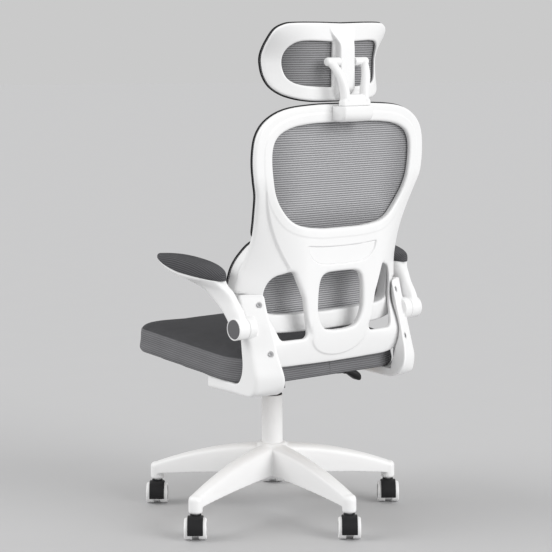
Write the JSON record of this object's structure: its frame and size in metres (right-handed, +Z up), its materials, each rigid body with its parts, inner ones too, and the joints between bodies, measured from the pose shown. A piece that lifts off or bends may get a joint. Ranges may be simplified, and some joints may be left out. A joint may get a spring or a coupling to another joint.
{
  "type": "office chair",
  "caption": "Mesh-back office chair with headrest, lumbar panel, flip-up padded arms, cushioned seat, gas lift and a star base on twin-wheel casters.",
  "frame": {"origin": "centre of the chair's bounding box in plan, on the floor", "axes": "+Z up; the sitter faces -Y and the sitter's left is +X"},
  "size_m": [0.6331, 0.6122, 1.1638],
  "materials": {
    "white_nylon": "moulded white, satin",
    "frame_white": "moulded white, half gloss",
    "white_tread": "white nylon wheel",
    "black_nylon": "moulded black",
    "pressed_black": "black powder coat",
    "bright_steel": "plain steel",
    "valve_red": "moulded",
    "seat_cloth": "ribbed dark grey cloth",
    "pan_board": "plain board",
    "mesh_grey": "grey mesh with fine ribs",
    "pad_grey": "dark grey cloth",
    "cap_grey": "moulded dark grey"
  },
  "bodies": {
    "base": {"star_base": "white_nylon", "gas_lift_tube": "white_nylon", "guide_bush": "black_nylon", "thrust_bearing": "bright_steel", "retaining_clip": "bright_steel", "caster_stem_1": "bright_steel", "caster_stem_2": "bright_steel", "caster_stem_3": "bright_steel", "caster_stem_4": "bright_steel", "caster_stem_5": "bright_steel"},
    "caster_1": {"caster_hood_1": "black_nylon"},
    "wheel_left_1": {"wheel_left_1": "white_tread"},
    "wheel_right_1": {"wheel_right_1": "white_tread"},
    "caster_2": {"caster_hood_2": "black_nylon"},
    "wheel_left_2": {"wheel_left_2": "white_tread"},
    "wheel_right_2": {"wheel_right_2": "white_tread"},
    "caster_3": {"caster_hood_3": "black_nylon"},
    "wheel_left_3": {"wheel_left_3": "white_tread"},
    "wheel_right_3": {"wheel_right_3": "white_tread"},
    "caster_4": {"caster_hood_4": "black_nylon"},
    "wheel_left_4": {"wheel_left_4": "white_tread"},
    "wheel_right_4": {"wheel_right_4": "white_tread"},
    "caster_5": {"caster_hood_5": "black_nylon"},
    "wheel_left_5": {"wheel_left_5": "white_tread"},
    "wheel_right_5": {"wheel_right_5": "white_tread"},
    "lift_rod": {"gas_piston_rod": "bright_steel"},
    "lift": {"gas_cylinder": "pressed_black", "tilt_housing": "pressed_black", "tilt_shaft": "bright_steel", "tilt_spring": "bright_steel"},
    "valve": {"valve_button": "valve_red"},
    "lever_pivot": {"lever_collar": "black_nylon"},
    "lever": {"lever_rod": "bright_steel", "lever_paddle": "black_nylon"},
    "knob": {"tension_knob": "black_nylon"},
    "seat": {"tilt_plate": "pressed_black", "seat_pan": "pan_board", "seat_cushion": "seat_cloth", "bracket_left": "frame_white", "bracket_right": "frame_white", "arm_pin_left": "bright_steel", "arm_pin_right": "bright_steel", "back_frame": "frame_white", "back_mesh": "mesh_grey", "lumbar_frame": "frame_white", "lumbar_mesh": "mesh_grey", "headrest_saddle": "frame_white"},
    "arm_left": {"arm_left": "frame_white", "arm_pad_left": "pad_grey", "hub_cap_left": "cap_grey"},
    "arm_right": {"arm_right": "frame_white", "arm_pad_right": "pad_grey", "hub_cap_right": "cap_grey"},
    "headrest_post": {"headrest_fork": "frame_white", "headrest_pin": "bright_steel"},
    "headrest": {"headrest_frame": "frame_white", "headrest_mesh": "mesh_grey"}
  },
  "joints": [
    {"name": "caster_swivel_1", "type": "hinge", "parent": "base", "child": "caster_1", "pos_m": [0.00012, 0.2629, 0.025], "axis": [0, 0, 1], "continuous": true},
    {"name": "wheel_left_1_spin", "type": "hinge", "parent": "caster_1", "child": "wheel_left_1", "pos_m": [0.00752, 0.27234, 0.025], "axis": [-0.7869, 0.617, 0], "continuous": true},
    {"name": "wheel_right_1_spin", "type": "hinge", "parent": "caster_1", "child": "wheel_right_1", "pos_m": [0.00752, 0.27234, 0.025], "axis": [-0.7869, 0.617, 0], "continuous": true},
    {"name": "caster_swivel_2", "type": "hinge", "parent": "base", "child": "caster_2", "pos_m": [-0.29065, 0.06751, 0.025], "axis": [0, 0, 1], "continuous": true},
    {"name": "wheel_left_2_spin", "type": "hinge", "parent": "caster_2", "child": "wheel_left_2", "pos_m": [-0.28325, 0.07695, 0.025], "axis": [-0.7869, 0.617, 0], "continuous": true},
    {"name": "wheel_right_2_spin", "type": "hinge", "parent": "caster_2", "child": "wheel_right_2", "pos_m": [-0.28325, 0.07695, 0.025], "axis": [-0.7869, 0.617, 0], "continuous": true},
    {"name": "caster_swivel_3", "type": "hinge", "parent": "base", "child": "caster_3", "pos_m": [-0.19468, -0.26941, 0.025], "axis": [0, 0, 1], "continuous": true},
    {"name": "wheel_left_3_spin", "type": "hinge", "parent": "caster_3", "child": "wheel_left_3", "pos_m": [-0.18727, -0.25996, 0.025], "axis": [-0.7869, 0.617, 0], "continuous": true},
    {"name": "wheel_right_3_spin", "type": "hinge", "parent": "caster_3", "child": "wheel_right_3", "pos_m": [-0.18727, -0.25996, 0.025], "axis": [-0.7869, 0.617, 0], "continuous": true},
    {"name": "caster_swivel_4", "type": "hinge", "parent": "base", "child": "caster_4", "pos_m": [0.15541, -0.28224, 0.025], "axis": [0, 0, 1], "continuous": true},
    {"name": "wheel_left_4_spin", "type": "hinge", "parent": "caster_4", "child": "wheel_left_4", "pos_m": [0.16281, -0.2728, 0.025], "axis": [-0.7869, 0.617, 0], "continuous": true},
    {"name": "wheel_right_4_spin", "type": "hinge", "parent": "caster_4", "child": "wheel_right_4", "pos_m": [0.16281, -0.2728, 0.025], "axis": [-0.7869, 0.617, 0], "continuous": true},
    {"name": "caster_swivel_5", "type": "hinge", "parent": "base", "child": "caster_5", "pos_m": [0.2758, 0.04674, 0.025], "axis": [0, 0, 1], "continuous": true},
    {"name": "wheel_left_5_spin", "type": "hinge", "parent": "caster_5", "child": "wheel_left_5", "pos_m": [0.2832, 0.05618, 0.025], "axis": [-0.7869, 0.617, 0], "continuous": true},
    {"name": "wheel_right_5_spin", "type": "hinge", "parent": "caster_5", "child": "wheel_right_5", "pos_m": [0.2832, 0.05618, 0.025], "axis": [-0.7869, 0.617, 0], "continuous": true},
    {"name": "seat_swivel", "type": "hinge", "parent": "base", "child": "lift_rod", "pos_m": [-0.0108, -0.0349, 0.1], "axis": [0, 0, 1], "continuous": true},
    {"name": "seat_height", "type": "slide", "parent": "lift_rod", "child": "lift", "axis": [0, 0, 1], "range_m": [0, 0.1]},
    {"name": "lever_lift", "type": "hinge", "parent": "lift", "child": "lever_pivot", "pos_m": [-0.0393, -0.0349, 0.3265], "axis": [0, 1, 0], "range_deg": [0, 5]},
    {"name": "lever_pull", "type": "slide", "parent": "lever_pivot", "child": "lever", "axis": [-1, 0, 0], "range_m": [0, 0.012]},
    {"name": "valve_press", "type": "slide", "parent": "lift", "child": "valve", "axis": [0, 0, -1], "range_m": [0, 0.0026], "stiffness_N_per_m": 1500},
    {"name": "knob_turn", "type": "hinge", "parent": "lift", "child": "knob", "pos_m": [-0.0108, -0.1209, 0.3], "axis": [0, 0, 1], "continuous": true},
    {"name": "back_tilt", "type": "hinge", "parent": "lift", "child": "seat", "pos_m": [-0.0108, -0.0899, 0.318], "axis": [-1, 0, 0], "range_deg": [0, 15], "stiffness_Nm_per_rad": 60, "springref_deg": -20.05, "deforming": ["tilt_spring"]},
    {"name": "arm_left_flip", "type": "hinge", "parent": "seat", "child": "arm_left", "pos_m": [0.2267, 0.1749, 0.4957], "axis": [-1, 0, 0], "range_deg": [0, 90]},
    {"name": "arm_right_flip", "type": "hinge", "parent": "seat", "child": "arm_right", "pos_m": [-0.2483, 0.1749, 0.4957], "axis": [-1, 0, 0], "range_deg": [0, 90]},
    {"name": "headrest_height", "type": "slide", "parent": "seat", "child": "headrest_post", "axis": [0, 0, 1], "range_m": [0, 0.03]},
    {"name": "headrest_tilt", "type": "hinge", "parent": "headrest_post", "child": "headrest", "pos_m": [-0.0108, 0.2416, 1.078], "axis": [-1, 0, 0], "range_deg": [0, 25]}
  ],
  "couplings": [
    {"joint": "valve_press", "follows": "lever_lift", "m_per_rad": 0.0285}
  ]
}
